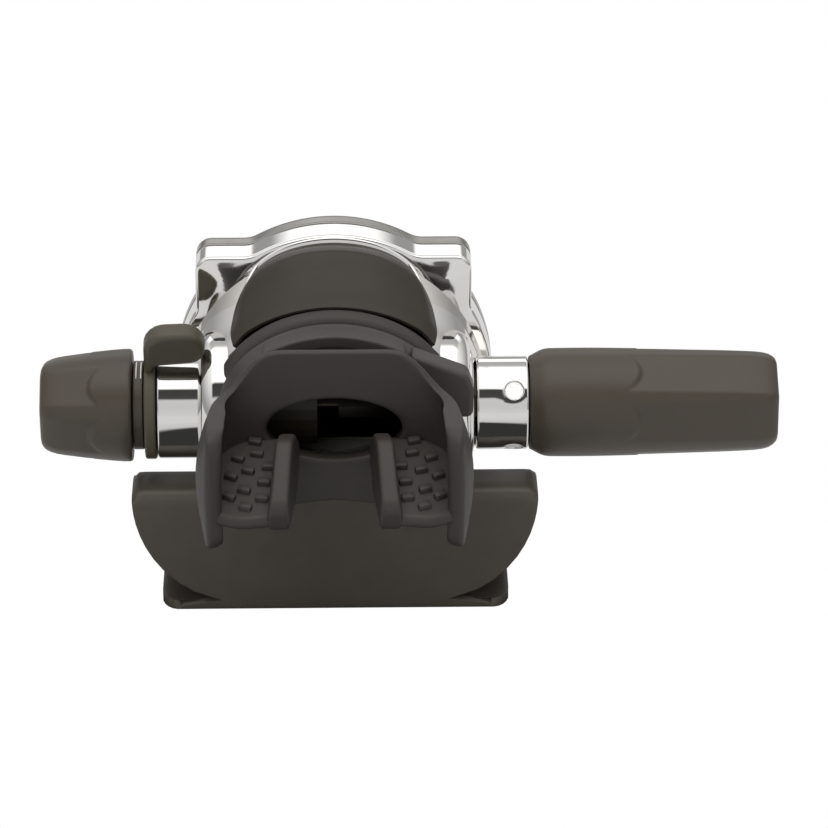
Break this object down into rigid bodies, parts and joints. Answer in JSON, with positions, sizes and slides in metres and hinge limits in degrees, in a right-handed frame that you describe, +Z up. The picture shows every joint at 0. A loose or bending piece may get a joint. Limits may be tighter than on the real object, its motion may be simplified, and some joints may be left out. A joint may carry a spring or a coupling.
{
  "type": "scuba regulator second stage",
  "caption": "Metal demand valve with purge cover, adjustment knob, venturi lever, hose sleeve, soft mouthpiece and a wide exhaust tee.",
  "frame": {"origin": "point on the flat bottom of the exhaust tee, straight under the valve axis and midway between the tee's ends", "axes": "+X along the valve axis to the hose side, +Y to the purge cover, +Z up; the diver is at -Y"},
  "size_m": [0.1717, 0.0916, 0.084],
  "materials": {
    "chrome": "bright chrome plate over brass",
    "steel": "plain stainless steel",
    "brass": "machined brass, satin",
    "badge_plastic": "dark olive-grey, satin gloss",
    "moulded_plastic": "dark olive-grey, satin",
    "tee_rubber": "dark olive-grey, smooth satin",
    "sleeve_rubber": "dark olive-grey, satin",
    "purge_rubber": "dark grey, satin",
    "mouthpiece_silicone": "near-black silicone, matt with a soft sheen",
    "clamp_plastic": "near-black, fine grain",
    "silicone": "milky silicone",
    "nylon": "natural nylon",
    "seal": "black seal rubber"
  },
  "bodies": {
    "case": {"housing": "chrome", "front_cover": "chrome", "cover_screw_left": "steel", "cover_screw_right": "steel", "badge_cover": "badge_plastic", "friction_ring": "nylon", "diaphragm": "silicone", "valve_barrel": "chrome", "orifice": "brass", "barrel_oring_left": "seal", "barrel_oring_right": "seal", "inlet_collar": "chrome", "index_ring": "moulded_plastic", "exhaust_valve": "silicone", "exhaust_tee": "tee_rubber", "mouthpiece": "mouthpiece_silicone", "mouthpiece_clamp": "clamp_plastic", "purge_spring": "steel", "poppet_spring": "steel"},
    "knob": {"adjustment_knob": "moulded_plastic", "knob_screw": "steel"},
    "adjuster": {"adjusting_screw": "nylon", "spring_seat": "nylon"},
    "venturi": {"venturi_lever": "moulded_plastic", "venturi_sleeve": "moulded_plastic", "sleeve_oring": "seal"},
    "purge": {"purge_button": "purge_rubber"},
    "diaphragm_plate": {"diaphragm_disc": "nylon"},
    "lever": {"demand_lever": "steel"},
    "poppet": {"poppet": "brass", "poppet_seat": "seal"},
    "sleeve": {"hose_sleeve": "sleeve_rubber"}
  },
  "joints": [
    {"name": "knob_turn", "type": "hinge", "parent": "case", "child": "knob", "pos_m": [-0.058, 0, 0.0466], "axis": [1, 0, 0], "range_deg": [-360, 360]},
    {"name": "adjuster_slide", "type": "slide", "parent": "case", "child": "adjuster", "axis": [1, 0, 0], "range_m": [-0.0013, 0.0013], "deforming": ["poppet_spring"]},
    {"name": "venturi_turn", "type": "hinge", "parent": "case", "child": "venturi", "pos_m": [-0.0435, 0, 0.0466], "axis": [1, 0, 0], "range_deg": [0, 70]},
    {"name": "purge_press", "type": "slide", "parent": "case", "child": "purge", "axis": [0, -1, 0], "range_m": [0, 0.004], "stiffness_N_per_m": 400, "springref_m": -0.003, "deforming": ["purge_spring", "diaphragm"]},
    {"name": "diaphragm_lift", "type": "slide", "parent": "case", "child": "diaphragm_plate", "axis": [0, -1, 0], "range_m": [0, 0.004]},
    {"name": "demand_lever_swing", "type": "hinge", "parent": "case", "child": "lever", "pos_m": [-0.013, 0.0087, 0.0466], "axis": [0, 0, -1], "range_deg": [0, 13.1]},
    {"name": "poppet_slide", "type": "slide", "parent": "case", "child": "poppet", "axis": [-1, 0, 0], "range_m": [0, 0.0013]},
    {"name": "sleeve_slide", "type": "slide", "parent": "case", "child": "sleeve", "axis": [1, 0, 0], "range_m": [0, 0.04]}
  ],
  "couplings": [
    {"joint": "adjuster_slide", "follows": "knob_turn", "m_per_rad": 0.00019894},
    {"joint": "diaphragm_lift", "follows": "purge_press", "ratio": 1},
    {"joint": "demand_lever_swing", "follows": "purge_press", "rad_per_m": 56.7},
    {"joint": "poppet_slide", "follows": "purge_press", "ratio": 0.3125}
  ]
}
